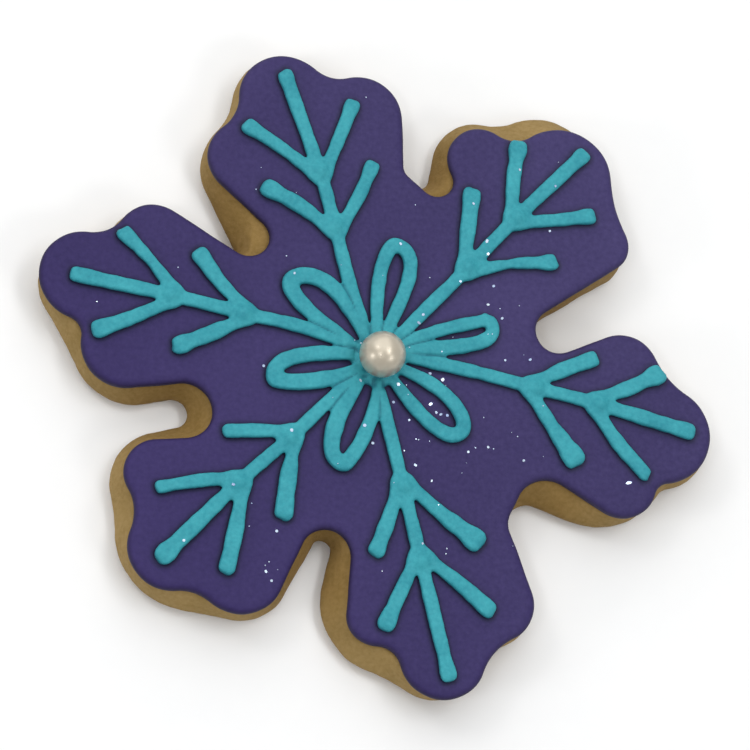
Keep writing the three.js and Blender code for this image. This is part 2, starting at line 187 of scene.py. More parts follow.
def outline(layer, spacing=0.4):
    """Evenly spaced points round a layer, anticlockwise, each with its outward direction."""
    chain = []
    for arm in ARMS:
        right, tip, left, dimples, bays = arm[layer]
        r, t, l = [(polar(d, arm["heading"] + turn), radius, 1) for d, turn, radius in (right, tip, left)]
        chain += [r, hollow_between(r, t, dimples[0]), t, hollow_between(t, l, dimples[1]), l]
        chain += [(polar(d, arm["heading"] + turn), radius, -1) for d, turn, radius in bays]
    ends = []
    for i, (centre, radius, bulge) in enumerate(chain):
        start = crossing(chain[i - 1], chain[i])
        stop = crossing(chain[i], chain[(i + 1) % len(chain)])
        sweep = ((stop - start) * bulge) % (2 * math.pi)
        steps = max(1, math.ceil(sweep * radius / spacing))
        for k in range(steps + 1):
            angle = start + bulge * sweep * k / steps
            out = Vector((math.cos(angle), math.sin(angle)))
            ends.append((centre + out * radius * bulge, out))
    points = []
    for (p, n), (q, m) in zip(ends, ends[1:] + ends[:1]):
        pieces = max(1, math.ceil((q - p).length / spacing))
        if (q - p).length < 1e-4:
            continue
        points += [(p.lerp(q, k / pieces), n.lerp(m, k / pieces).normalized()) for k in range(pieces)]
    return points


def new_piece(name, vertices, faces, smooth=True):
    mesh = bpy.data.meshes.new(name)
    mesh.from_pydata([tuple(c * MM for c in v) for v in vertices], [], faces)
    mesh.validate()
    for face in mesh.polygons:
        face.use_smooth = smooth
    piece = bpy.data.objects.new(name, mesh)
    bpy.context.collection.objects.link(piece)
    return piece


def strewn_inside(ring, spacing):
    """Points in rows over the inside of a ring, clear of its edge."""
    edge = np.array([(p[0], p[1]) for p in ring])
    low, high = edge.min(0), edge.max(0)
    xs, ys = np.meshgrid(np.arange(low[0], high[0], spacing), np.arange(low[1], high[1], spacing * 0.866))
    xs[1::2] += spacing / 2
    x, y = xs.ravel(), ys.ravel()
    inside = np.zeros(len(x), bool)
    for (ax, ay), (bx, by) in zip(edge, np.roll(edge, -1, 0)):
        if ay != by:
            inside ^= ((ay > y) != (by > y)) & (x < (bx - ax) * (y - ay) / (by - ay) + ax)
    near = kdtree.KDTree(len(edge))
    for i, (ex, ey) in enumerate(edge):
        near.insert((ex, ey, 0), i)
    near.balance()
    clear = spacing * 0.6
    return [Vector((px, py)) for px, py in zip(x[inside], y[inside]) if near.find((px, py, 0))[2] > clear]


def closing_face(ring, spacing, needs_fine=None):
    """Extra points and triangles that close a ring of points, facing up."""
    edge = [Vector((p[0], p[1])) for p in ring]
    extra = strewn_inside(ring, spacing) if spacing else []
    if needs_fine:
        fine = [p for p in strewn_inside(ring, FINE_SPACING) if needs_fine(p.x, p.y)]
        extra = [p for p in extra if not needs_fine(p.x, p.y)] + fine
    made = geometry.delaunay_2d_cdt(edge + extra, [], [list(range(len(edge)))], 1, 1e-5)
    back = [origins[0] for origins in made[3]]
    triangles = []
    for a, b, c in made[2]:
        one, two, three = made[0][a], made[0][b], made[0][c]
        turn = (two - one).cross(three - one)
        triangles.append((back[a], back[b], back[c]) if turn > 0 else (back[a], back[c], back[b]))
    return extra, triangles


def layered(name, rings, spacing=0, top_height=None, needs_fine=None):
    """A closed piece from rings of points, with a face over each end."""
    count = len(rings[0])
    faces = []
    for r in range(len(rings) - 1):
        for i in range(count):
            a, b = r * count + i, r * count + (i + 1) % count
            faces.append((a, b, b + count, a + count))
    vertices = [p for ring in rings for p in ring]
    faces += [(a, c, b) for a, b, c in closing_face(rings[0], 0)[1]]
    extra, triangles = closing_face(rings[-1], spacing, needs_fine)
    top, added = (len(rings) - 1) * count, len(vertices)
    vertices += [(p.x, p.y, top_height(p.x, p.y)) for p in extra]
    faces += [tuple(top + i if i < count else added + i - count for i in face) for face in triangles]
    return new_piece(name, vertices, faces)


def lumps(x, y, z, size, seed):
    """Smooth unevenness from -1 to 1 whose lumps are about size across."""
    return noise.noise(Vector((x / size + seed * 17.3, y / size - seed * 5.1, z / size + seed)))


# ---- biscuit and flood icing ----
def ledges(points, inner, reach=6):
    """How far each point stands out past an inner outline, evened out along the edge."""
    near = kdtree.KDTree(len(inner))
    for i, (q, _) in enumerate(inner):
        near.insert((q.x, q.y, 0), i)
    near.balance()
    found = []
    for p, _ in points:
        q, n = inner[near.find((p.x, p.y, 0))[1]]
        found.append(max(0.0, (p - q).dot(n)))
    count = len(found)
    nearby = range(-reach, reach + 1)
    return [sum(found[(i + k) % count] for k in nearby) / len(nearby) for i in range(count)]


def bake_biscuit():
    rings = []
    points = outline("biscuit")
    beyond = ledges(points, outline("icing"))
    for inset, height in BISCUIT_EDGE:
        ring = []
        side = max(0.0, 1 - inset / 1.0) if height > 0.05 else 0.0
        slope = max(0.0, height - LEDGE_FROM) / (BISCUIT_THICK - LEDGE_FROM)
        for (p, n), ledge in zip(points, beyond):
            swell = 0.16 * lumps(p.x, p.y, height * 0.6, 5.0, 1) + 0.07 * lumps(p.x, p.y, height, 1.5, 2)
            q = p - n * (inset + ledge * slope - swell * side)
            ring.append((q.x, q.y, height))
        rings.append(ring)
    return layered("baked_biscuit", rings)


def flood_the_top(piping):
    """The set icing. Its edge runs down over the biscuit's shoulder a little here and there."""
    rings = []
    points = outline("icing")
    for inset, height in ICING_EDGE:
        ring = []
        low = max(0.0, (7.1 - height) / 1.0)
        for p, n in points:
            run = 0.18 + 0.5 * lumps(p.x, p.y, 0, 9.0, 3) - 0.3 * n.y - 0.15 * n.x
            swell = 0.1 * lumps(p.x, p.y, height * 0.5, 4.0, 4) * max(0.0, 1 - inset / 1.2)
            q = p - n * (inset - swell)
            wave = icing_wave(q.x, q.y) * min(1.0, inset / 2.8) if height > 7.3 else 0.0
            ring.append((q.x, q.y, height + wave - low * max(0.0, min(0.75, run))))
        rings.append(ring)
    icing = layered("set_flood_icing", rings, 1.3, lambda x, y: ICING_TOP + icing_wave(x, y), beside(piping))
    # painted shade: a dark band on the icing along the piping, strongest under and right beside it
    painted_contact_shade = icing.data.attributes.new("painted_contact_shade", "FLOAT", "POINT")
    shade = [math.exp(-(from_piping(piping, v.co) / 0.56) ** 2.4) for v in icing.data.vertices]
    painted_contact_shade.data.foreach_set("value", shade)
    return icing


def from_piping(piping, place):
    """The distance in mm from a place on the icing to the piping, and 0 underneath it."""
    found, where, normal, _ = piping.closest_point_on_mesh(place, distance=3 * MM)
    if not found:
        return 3.0
    away = place - where
    return 0.0 if away.dot(normal) < 0 else away.length / MM


def beside(piping):
    """Tells whether the icing needs fine points at a place, which is so along the piping."""
    def close(x, y):
        place = Vector((x, y, ICING_TOP)) * MM
        found, where, normal, _ = piping.closest_point_on_mesh(place, distance=0.9 * MM)
        return found and ((place - where).dot(normal) > 0 or (place - where).length < 0.35 * MM)
    return close


def icing_wave(x, y):
    """The slight unevenness of icing that was flooded on and left to set."""
    return 0.06 * lumps(x, y, 0, 9.0, 21) + 0.03 * lumps(x, y, 0, 4.0, 22)


# ---- piping ----
def eased(values, share):
    place = share * (len(values) - 1)
    i = min(int(place), len(values) - 2)
    t = max(0.0, min(1.0, place - i))
    t = t * t * (3 - 2 * t)
    return values[i] + (values[i + 1] - values[i]) * t


def smooth_path(corners, spacing):
    """A smooth line through the corners, as evenly spaced points."""
    line = []
    padded = [corners[0] * 2 - corners[1]] + corners + [corners[-1] * 2 - corners[-2]]
    for a, b, c, d in zip(padded, padded[1:], padded[2:], padded[3:]):
        for k in range(24):
            t = k / 24
            line.append(0.5 * (2 * b + (c - a) * t + (2 * a - 5 * b + 4 * c - d) * t * t
                               + (3 * b - a - 3 * c + d) * t * t * t))
    line.append(corners[-1])
    reach = [0.0]
    for p, q in zip(line, line[1:]):
        reach.append(reach[-1] + (q - p).length)
    steps = max(2, round(reach[-1] / spacing))
    even, i = [], 0
    for k in range(steps + 1):
        want = reach[-1] * k / steps
        while i < len(line) - 2 and reach[i + 1] < want:
            i += 1
        t = (want - reach[i]) / max(reach[i + 1] - reach[i], 1e-9)
        even.append(line[i].lerp(line[i + 1], t))
    return even


def piped(path, widths, high, seed, round_start=False, round_end=False):
    """One piped line as stations (x, y, half width, height), with round ends."""
    stations = []
    knob = 0.08 + 0.16 * lumps(path[-1].x, path[-1].y, 0, 5.0, seed + 17) if round_end else 0.0
    for i, p in enumerate(path):
        share = i / (len(path) - 1)
        wobble = 1 + 0.07 * lumps(p.x, p.y, 0, 2.6, seed) + 0.06 * lumps(p.x, p.y, 0, 1.2, seed + 5)
        crowded = 0.8 + 0.2 * max(0.0, min(1.0, (p.length - 4.0) / 4.0))
        left = (path[-1] - p).length
        pause = 1 + knob * (math.exp(-((left - 0.5) / 0.9) ** 2) - 0.6 * math.exp(-((left - 2.6) / 0.8) ** 2))
        width = eased(widths, share) * wobble * crowded * pause
        rise = high * (0.97 + 0.05 * lumps(p.x, p.y, 0, 3.5, seed + 9)) * (width / LINE_WIDTH) ** 0.25
        stations.append((p.x, p.y, width / 2, rise))

    def nose(station, ahead):
        """A round or blunter end, as the nozzle left it."""
        x, y, half, rise = station
        blunt = 0.5 + 0.5 * lumps(x, y, 0, 7.0, seed + 13)
        slant = 0.2 * lumps(x, y, 0, 6.0, seed + 15) * half
        tip = []
        for k in range(1, 7):
            angle = math.radians(85 * k / 6)
            far = (0.95 - 0.35 * blunt) * half * math.sin(angle)
            end = math.cos(angle) ** (0.9 - 0.5 * blunt)
            aside = slant * (1 - end)
            tip.append((x + ahead.x * far - ahead.y * aside, y + ahead.y * far + ahead.x * aside,
                        half * end, rise * end))
        return tip

    if round_start:
        stations = nose(stations[0], (path[0] - path[1]).normalized())[::-1] + stations
    if round_end:
        stations += nose(stations[-1], (path[-1] - path[-2]).normalized())
    return stations


def arm_point(arm, along, across):
    return polar(along, arm["heading"]) + polar(across, arm["heading"] + 90) + PIPING_OFF


def arm_lines(arm, seed):
    sway, hubs, tip, end = arm["stem"]
    spine = [
        arm_point(arm, PETAL_START, sway[0] * 0.75),
        arm_point(arm, hubs[0] * 0.6, sway[0]),
        arm_point(arm, hubs[0], sway[1]),
        arm_point(arm, hubs[1], sway[2]),
        arm_point(arm, tip, sway[3]),
    ]
    widths = [LINE_WIDTH] * 5 + [(LINE_WIDTH + end) / 2, end]
    lines = [piped(smooth_path(spine, 0.7), widths, PIPING_HIGH, seed, round_end=True)]
    webs = []
    for k, fork in enumerate((arm["inner"], arm["outer"])):
        hub = spine[2 + k]
        for turn, length, bow, end_width, neck in fork:
            heading = arm["heading"] + turn
            corners = [hub + polar(0.5 + share * (length - 0.5), heading) for share in (0, 0.5, 1)]
            corners[0] -= polar(ROOT_BACK, arm["heading"])
            corners[1] += polar(bow, heading + 90)
            barb_widths = [BARB_ROOT, BARB_WIDTH, neck, (neck + end_width) / 2, end_width]
            seed += 1
            lines.append(piped(smooth_path(corners, 0.7), barb_widths, PIPING_HIGH, seed, True, True))
        ahead = polar(1, arm["heading"])
        webs.append((hub, ahead))
    return lines, webs


def petal_line(petal, seed):
    heading, reach, left, right, roundness, lean, widths = petal
    start = math.acos(1 - 2 * PETAL_START / reach) / (2 * math.pi)
    path, steps = [], 64
    for k in range(steps + 1):
        share = start + (1 - 2 * start) * k / steps
        along = reach * (1 - math.cos(2 * math.pi * share)) / 2
        swing = math.sin(2 * math.pi * share) * math.sin(math.pi * share) ** roundness
        across = swing * (left if swing > 0 else right) + lean * (along / reach) ** 2
        path.append(polar(along, heading) + polar(across, heading + 90) + PIPING_OFF)
    return piped(path, widths, PETAL_HIGH, seed)


def input_socket(tree, name, kind, default=None):
    socket = tree.interface.new_socket(name=name, in_out="INPUT", socket_type=kind)
    if default is not None:
        socket.default_value = default
    return socket


def piping_tree():
    """Sweeps a plump bead along every line; the stations carry its half width and height."""
    tree = bpy.data.node_groups.new("piped_bead", "GeometryNodeTree")
    input_socket(tree, "Lines", "NodeSocketGeometry")
    input_socket(tree, "Bead Points", "NodeSocketInt", BEAD_POINTS)
    input_socket(tree, "Undercut", "NodeSocketFloat", UNDERCUT)
    input_socket(tree, "Sink", "NodeSocketFloat", SUNK * MM)
    input_socket(tree, "Fullness", "NodeSocketFloat", FULLNESS)
    input_socket(tree, "Finish", "NodeSocketMaterial")
    tree.interface.new_socket(name="Piping", in_out="OUTPUT", socket_type="NodeSocketGeometry")
    make, link = tree.nodes.new, tree.links.new
    given, result = make("NodeGroupInput"), make("NodeGroupOutput")
    to_curve = make("GeometryNodeMeshToCurve")
    upright = make("GeometryNodeSetCurveNormal")
    upright.mode = "Z_UP"
    arc = make("GeometryNodeCurveArc")
    arc.inputs["Radius"].default_value = 1.0
    start, sweep, double = make("ShaderNodeMath"), make("ShaderNodeMath"), make("ShaderNodeMath")
    start.operation, double.operation, sweep.operation = "MULTIPLY", "MULTIPLY", "ADD"
    start.inputs[1].default_value = -1.0
    double.inputs[1].default_value = 2.0
    sweep.inputs[1].default_value = math.pi
    close = make("GeometryNodeSetSplineCyclic")
    close.inputs["Cyclic"].default_value = True
    half, rise = make("GeometryNodeInputNamedAttribute"), make("GeometryNodeInputNamedAttribute")
    half.inputs["Name"].default_value = "half_width"
    rise.inputs["Name"].default_value = "rise"
    swept = make("GeometryNodeCurveToMesh")
    swept.inputs["Fill Caps"].default_value = True
    place = make("GeometryNodeInputPosition")
    parts, whole = make("ShaderNodeSeparateXYZ"), make("ShaderNodeCombineXYZ")
    share, lift, tall = [make("ShaderNodeMath") for _ in range(3)]
    sine, over = make("ShaderNodeMath"), make("ShaderNodeMath")
    sine.operation, over.operation = "SINE", "ADD"
    over.inputs[1].default_value = 1.0
    share.operation, lift.operation, tall.operation = "DIVIDE", "MULTIPLY_ADD", "DIVIDE"
    settle = make("GeometryNodeSetPosition")
    real, finish = make("GeometryNodeRealizeInstances"), make("GeometryNodeSetMaterial")
    link(given.outputs["Lines"], to_curve.inputs["Mesh"])
    link(to_curve.outputs["Curve"], upright.inputs["Curve"])
    link(upright.outputs["Curve"], swept.inputs["Curve"])
    link(given.outputs["Bead Points"], arc.inputs["Resolution"])
    link(given.outputs["Undercut"], start.inputs[0])
    link(given.outputs["Undercut"], double.inputs[0])
    link(double.outputs[0], sweep.inputs[0])
    link(start.outputs[0], arc.inputs["Start Angle"])
    link(sweep.outputs[0], arc.inputs["Sweep Angle"])
    link(arc.outputs["Curve"], close.inputs["Geometry"])
    link(close.outputs["Geometry"], swept.inputs["Profile Curve"])
    link(half.outputs["Attribute"], swept.inputs["Scale"])
    # height: ((z / half width + sin undercut) / (1 + sin undercut)) ^ fullness * rise, less the sink
    link(given.outputs["Undercut"], sine.inputs[0])
    link(sine.outputs[0], over.inputs[0])
    link(place.outputs[0], parts.inputs[0])
    link(parts.outputs["Z"], share.inputs[0])
    link(half.outputs["Attribute"], share.inputs[1])
    add = make("ShaderNodeMath")
    add.operation = "ADD"
    link(share.outputs[0], add.inputs[0])
    link(sine.outputs[0], add.inputs[1])
    link(add.outputs[0], tall.inputs[0])
    link(over.outputs[0], tall.inputs[1])
    full = make("ShaderNodeMath")
    full.operation = "POWER"
    link(tall.outputs[0], full.inputs[0])
    link(given.outputs["Fullness"], full.inputs[1])
    link(full.outputs[0], lift.inputs[0])
    link(rise.outputs["Attribute"], lift.inputs[1])
    below = make("ShaderNodeMath")
    below.operation = "SUBTRACT"
    below.inputs[0].default_value = ICING_TOP * MM
    link(given.outputs["Sink"], below.inputs[1])
    link(below.outputs[0], lift.inputs[2])
    link(parts.outputs["X"], whole.inputs["X"])
    link(parts.outputs["Y"], whole.inputs["Y"])
    link(lift.outputs[0], whole.inputs["Z"])
    link(swept.outputs["Mesh"], settle.inputs["Geometry"])
    link(whole.outputs[0], settle.inputs["Position"])
    link(settle.outputs["Geometry"], real.inputs["Geometry"])
    link(real.outputs["Geometry"], finish.inputs["Geometry"])
    link(given.outputs["Finish"], finish.inputs["Material"])
    link(finish.outputs["Geometry"], result.inputs["Piping"])
    return tree


def set_input(modifier, tree, name, value):
    for item in tree.interface.items_tree:
        if item.item_type == "SOCKET" and item.in_out == "INPUT" and item.name == name:
            modifier[item.identifier] = value


def made_real(piece, name):
    """The evaluated piece as a plain mesh, with its modifiers gone."""
    depsgraph = bpy.context.evaluated_depsgraph_get()
    mesh = bpy.data.meshes.new_from_object(piece.evaluated_get(depsgraph))
    mesh.name = name
    piece.modifiers.clear()
    real = bpy.data.objects.new(name, mesh)
    bpy.context.collection.objects.link(real)
    bpy.data.objects.remove(piece)
    return real


def lens_of_icing(centre, radii, high, ahead):
    """A low round mound of icing that fills the fork where lines run together."""
    vertices, faces = [], []
    across = Vector((-ahead.y, ahead.x))
    rings, around = 6, 20
    base = ICING_TOP - SUNK
    for r in range(rings + 1):
        tilt = math.radians(90 * r / rings)
        for k in range(around):
            turn = 2 * math.pi * k / around
            p = centre + ahead * radii[0] * math.cos(tilt) * math.cos(turn)
            p = p + across * radii[1] * math.cos(tilt) * math.sin(turn)
            vertices.append((p.x, p.y, base + high * math.sin(tilt) ** 0.8))
    for r in range(rings):
        for k in range(around):
            a, b = r * around + k, r * around + (k + 1) % around
            faces.append((a, b, b + around, a + around))
    faces.append(tuple(range(around))[::-1])
    return vertices, faces


def pipe_the_snowflake(finish):
    lines, webs, strands = [], [], []
    for i, arm in enumerate(ARMS):
        arm_set, arm_webs = arm_lines(arm, 10 + 7 * i)
        lines += arm_set
        webs += arm_webs
        strands.append([spot for spot in arm_set[0] if math.hypot(spot[0], spot[1]) < CREASED_WITHIN + 3])
    for i, petal in enumerate(PETALS):
        loop = petal_line(petal, 60 + i)
        lines.append(loop)
        strands += [loop[:len(loop) * 2 // 5], loop[len(loop) * 3 // 5:]]

    vertices, edges, half, rise = [], [], [], []
    for line in lines:
        first = len(vertices)
        edges += [(first + k, first + k + 1) for k in range(len(line) - 1)]
        vertices += [(x * MM, y * MM, 0.0) for x, y, _, _ in line]
        half += [w * MM for _, _, w, _ in line]
        rise += [h * MM for _, _, _, h in line]
    mesh = bpy.data.meshes.new("piped_lines")
    mesh.from_pydata(vertices, edges, [])
    for name, values in (("half_width", half), ("rise", rise)):
        mesh.attributes.new(name, "FLOAT", "POINT").data.foreach_set("value", values)
    strokes = bpy.data.objects.new("piped_lines", mesh)
    bpy.context.collection.objects.link(strokes)
    tree = piping_tree()
    sweep = strokes.modifiers.new("bead", "NODES")
    sweep.node_group = tree
    set_input(sweep, tree, "Bead Points", BEAD_POINTS)
    set_input(sweep, tree, "Undercut", UNDERCUT)
    set_input(sweep, tree, "Sink", SUNK * MM)
    set_input(sweep, tree, "Fullness", FULLNESS)
    set_input(sweep, tree, "Finish", finish)
    beads = made_real(strokes, "piped_beads")

    mounds = [lens_of_icing(hub + ahead * FORK_AHEAD, FORK_RADII, FORK_HIGH, ahead) for hub, ahead in webs]
    mounds.append(lens_of_icing(Vector((0, 0)), (BLOB_RADIUS,) * 2, BLOB_HIGH, Vector((1, 0))))
    vertices, faces = [], []
    for mound, sides in mounds:
        shift = len(vertices)
        vertices += mound
        faces += [tuple(i + shift for i in side) for side in sides]
    extra = new_piece("icing_mounds", vertices, faces)
    with bpy.context.temp_override(
        active_object=beads, object=beads,
        selected_objects=[beads, extra], selected_editable_objects=[beads, extra],
    ):
        bpy.ops.object.join()

    fuse = beads.modifiers.new("fuse", "REMESH")
    fuse.mode = "VOXEL"
    fuse.voxel_size = FUSED_GRAIN * MM
    fuse.use_smooth_shade = True
    piping = made_real(beads, "fused_beads")
    near = piping.vertex_groups.new(name="run_together")
    spots = [hub + ahead * 1.0 for hub, ahead in webs]
    for v in piping.data.vertices:
        x, y = v.co.x / MM, v.co.y / MM
        closest = min((x - s.x) ** 2 + (y - s.y) ** 2 for s in spots) ** 0.5 / FORK_REACH
        weight = max(0.0, min(1.0, (1.15 - closest) * 3))
        if weight > 0:
            near.add([v.index], weight, "REPLACE")
    for name, group, turns in (("settle_all", "", 3), ("settle_forks", "run_together", 8)):
        settle = piping.modifiers.new(name, "SMOOTH")
        settle.factor = 0.5
        settle.iterations = turns
        settle.vertex_group = group
    piping = made_real(piping, "piped_snowflake")
    piping.vertex_groups.clear()
    pressed = creases(piping.data, strands)
    normals = [v.normal.copy() for v in piping.data.vertices]
    for v, normal, press in zip(piping.data.vertices, normals, pressed):
        x, y, z = v.co / MM
        v.co.z -= float(press) * CREASE_DEEP * MM * max(0.0, min(1.0, z - ICING_TOP))
        v.co += normal * MM * (0.06 * lumps(x, y, z, 1.8, 31) + 0.025 * lumps(x, y, z, 0.6, 32))
    seat = Vector((0, 0, PEARL_CENTRE)) * MM
    for v in piping.data.vertices:
        away = v.co - seat
        if away.length < (PEARL_RADIUS + 0.06) * MM:
            v.co = seat + away.normalized() * (PEARL_RADIUS + 0.06) * MM
        v.co.z = max(v.co.z, (ICING_TOP - SUNK) * MM)
    # painted shade: the crease mask is kept for darkening the creases in the piping's colour
    crease_shade = piping.data.attributes.new("crease_shade", "FLOAT", "POINT")
    crease_shade.data.foreach_set("value", pressed)
    piping.data.materials.clear()
    piping.data.materials.append(finish)
    for face in piping.data.polygons:
        face.use_smooth = True
    return piping


def creases(mesh, strands):
    """How near each point is to the line where two strands lie side by side, from 0 to 1."""
    count = len(mesh.vertices)
    place = np.empty(count * 3)
    mesh.vertices.foreach_get("co", place)
    place = place.reshape(-1, 3)[:, :2] / MM
    central = np.hypot(place[:, 0], place[:, 1]) < CREASED_WITHIN
    spots = place[central]
    aside = np.full((2, len(spots)), 9.0)
    for strand in strands:
        line = np.array(strand)
        a, b, half = line[:-1, :2], line[1:, :2], (line[:-1, 2] + line[1:, 2]) / 2
        run = b - a
        share = ((spots[:, None] - a) * run).sum(2) / (run * run).sum(1)
        foot = a + np.clip(share, 0, 1)[..., None] * run
        reach = (np.linalg.norm(spots[:, None] - foot, axis=2) / half).min(1)
        aside = np.sort(np.vstack([aside, reach]), axis=0)[:2]
    near, next_one = aside
    apart = np.clip((near - 0.3) / 0.25, 0, 1) * np.clip((1.35 - next_one) / 0.2, 0, 1)
    found = np.zeros(count, np.float32)
    found[central] = np.exp(-(((next_one - near) / 0.3) ** 2)) * apart
    return found


def set_the_pearl():
    vertices, faces = [], []
    rings, around = 36, 64
    for r in range(1, rings):
        tilt = math.pi * r / rings
        for k in range(around):
            turn = 2 * math.pi * k / around
            way = Vector((math.sin(tilt) * math.cos(turn), math.sin(tilt) * math.sin(turn), -math.cos(tilt)))
            size = PEARL_RADIUS * (1 + 0.006 * lumps(*way, 0.6, 7) - 0.004)
            vertices.append((way.x * size, way.y * size, PEARL_CENTRE + way.z * size))
    for r in range(rings - 2):
        for k in range(around):
            a, b = r * around + k, r * around + (k + 1) % around
            faces.append((a, b, b + around, a + around))
    vertices += [(0, 0, PEARL_CENTRE - PEARL_RADIUS), (0, 0, PEARL_CENTRE + PEARL_RADIUS * 0.996)]
    bottom, top, last = len(vertices) - 2, len(vertices) - 1, (rings - 2) * around
    for k in range(around):
        faces.append((bottom, (k + 1) % around, k))
        faces.append((top, last + k, last + (k + 1) % around))
    return new_piece("pearl_bead", vertices, faces)


# ---- finishes ----
def group_shell(name, inputs, outputs):
    tree = bpy.data.node_groups.new(name, "ShaderNodeTree")
    for label, kind, value in inputs:
        input_socket(tree, label, kind, value)
    for label, kind in outputs:
        tree.interface.new_socket(name=label, in_out="OUTPUT", socket_type=kind)
    return tree, tree.nodes.new("NodeGroupInput"), tree.nodes.new("NodeGroupOutput")


def sugar_grain():
    """Fine grain with soft waves under it, as a height from 0 to 1, and a mask of the grain."""
    tree, given, result = group_shell(
        "sugar_grain",
        [("Place", "NodeSocketVector", None), ("Grain Scale", "NodeSocketFloat", 1800.0),
         ("Wave Scale", "NodeSocketFloat", 160.0), ("Wave Share", "NodeSocketFloat", 0.5)],
        [("Height", "NodeSocketFloat"), ("Grain", "NodeSocketFloat")],
    )
    make, link = tree.nodes.new, tree.links.new
    grain, wave, mix = make("ShaderNodeTexNoise"), make("ShaderNodeTexNoise"), make("ShaderNodeMix")
    grain.inputs["Detail"].default_value = 3.0
    grain.inputs["Roughness"].default_value = 0.6
    wave.inputs["Detail"].default_value = 2.0
    link(given.outputs["Place"], grain.inputs["Vector"])
    link(given.outputs["Place"], wave.inputs["Vector"])
    link(given.outputs["Grain Scale"], grain.inputs["Scale"])
    link(given.outputs["Wave Scale"], wave.inputs["Scale"])
    link(given.outputs["Wave Share"], mix.inputs["Factor"])
    link(grain.outputs["Fac"], mix.inputs["A"])
    link(wave.outputs["Fac"], mix.inputs["B"])
    link(mix.outputs["Result"], result.inputs["Height"])
    link(grain.outputs["Fac"], result.inputs["Grain"])
    return tree


def tone_drift():
    """Lets a colour wander between two tones in broad patches with a fine fleck over them."""
    tree, given, result = group_shell(
        "tone_drift",
        [("Place", "NodeSocketVector", None), ("Main", "NodeSocketColor", (0.5, 0.5, 0.5, 1)),
         ("Other", "NodeSocketColor", (0.4, 0.4, 0.4, 1)), ("Patch Scale", "NodeSocketFloat", 60.0),
         ("Fleck Scale", "NodeSocketFloat", 900.0), ("Fleck Share", "NodeSocketFloat", 0.4)],
        [("Color", "NodeSocketColor"), ("Mask", "NodeSocketFloat")],
    )
    make, link = tree.nodes.new, tree.links.new
    patch, fleck, both = make("ShaderNodeTexNoise"), make("ShaderNodeTexNoise"), make("ShaderNodeMix")
    patch.inputs["Detail"].default_value = 3.0
    fleck.inputs["Detail"].default_value = 2.0
    spread = make("ShaderNodeMapRange")
    spread.inputs["From Min"].default_value = 0.32
    spread.inputs["From Max"].default_value = 0.68
    tone = make("ShaderNodeMix")
    tone.data_type = "RGBA"
    link(given.outputs["Place"], patch.inputs["Vector"])
    link(given.outputs["Place"], fleck.inputs["Vector"])
    link(given.outputs["Patch Scale"], patch.inputs["Scale"])
    link(given.outputs["Fleck Scale"], fleck.inputs["Scale"])
    link(given.outputs["Fleck Share"], both.inputs["Factor"])
    link(patch.outputs["Fac"], both.inputs["A"])
    link(fleck.outputs["Fac"], both.inputs["B"])
    link(both.outputs["Result"], spread.inputs["Value"])
    link(spread.outputs["Result"], tone.inputs["Factor"])
    link(given.outputs["Main"], tone.inputs[6])
    link(given.outputs["Other"], tone.inputs[7])
    link(tone.outputs[2], result.inputs["Color"])
    link(spread.outputs["Result"], result.inputs["Mask"])
    return tree


GRAIN = sugar_grain()
DRIFT = tone_drift()


def finish_base(name):
    material = bpy.data.materials.new(name)
    material.use_nodes = True
    tree = material.node_tree
    shader = next(n for n in tree.nodes if n.type == "BSDF_PRINCIPLED")
    place = tree.nodes.new("ShaderNodeTexCoord")
    return material, tree, shader, place.outputs["Object"]


def put_group(tree, group, place, **values):
    node = tree.nodes.new("ShaderNodeGroup")
    node.node_tree = group
    tree.links.new(place, node.inputs["Place"])
    for key, value in values.items():
        node.inputs[key.replace("_", " ")].default_value = value
    return node


def bump(tree, shader, height, distance, strength=1.0):
    node = tree.nodes.new("ShaderNodeBump")
    node.inputs["Strength"].default_value = strength
    node.inputs["Distance"].default_value = distance
    tree.links.new(height, node.inputs["Height"])
    tree.links.new(node.outputs["Normal"], shader.inputs["Normal"])
    return node


def ranged(tree, value, low, high, from_low=0.3, from_high=0.7):
    node = tree.nodes.new("ShaderNodeMapRange")
    node.inputs["From Min"].default_value = from_low
    node.inputs["From Max"].default_value = from_high
    node.inputs["To Min"].default_value = low
    node.inputs["To Max"].default_value = high
    tree.links.new(value, node.inputs["Value"])
    return node.outputs["Result"]


def stained(tree, amount, colour, stain, blend="MIX"):
    """A colour with a stain laid over it, by an amount from 0 to 1."""
    mix = tree.nodes.new("ShaderNodeMix")
    mix.data_type = "RGBA"
    mix.blend_type = blend
    tree.links.new(amount, mix.inputs["Factor"])
    tree.links.new(colour, mix.inputs[6])
    mix.inputs[7].default_value = stain
    return mix.outputs[2]


def height_at(tree, place):
    split = tree.nodes.new("ShaderNodeSeparateXYZ")
    tree.links.new(place, split.inputs[0])
    return split.outputs["Z"]


def painted_on(tree, name):
    shade = tree.nodes.new("ShaderNodeAttribute")
    shade.attribute_name = name
    return shade.outputs["Fac"]


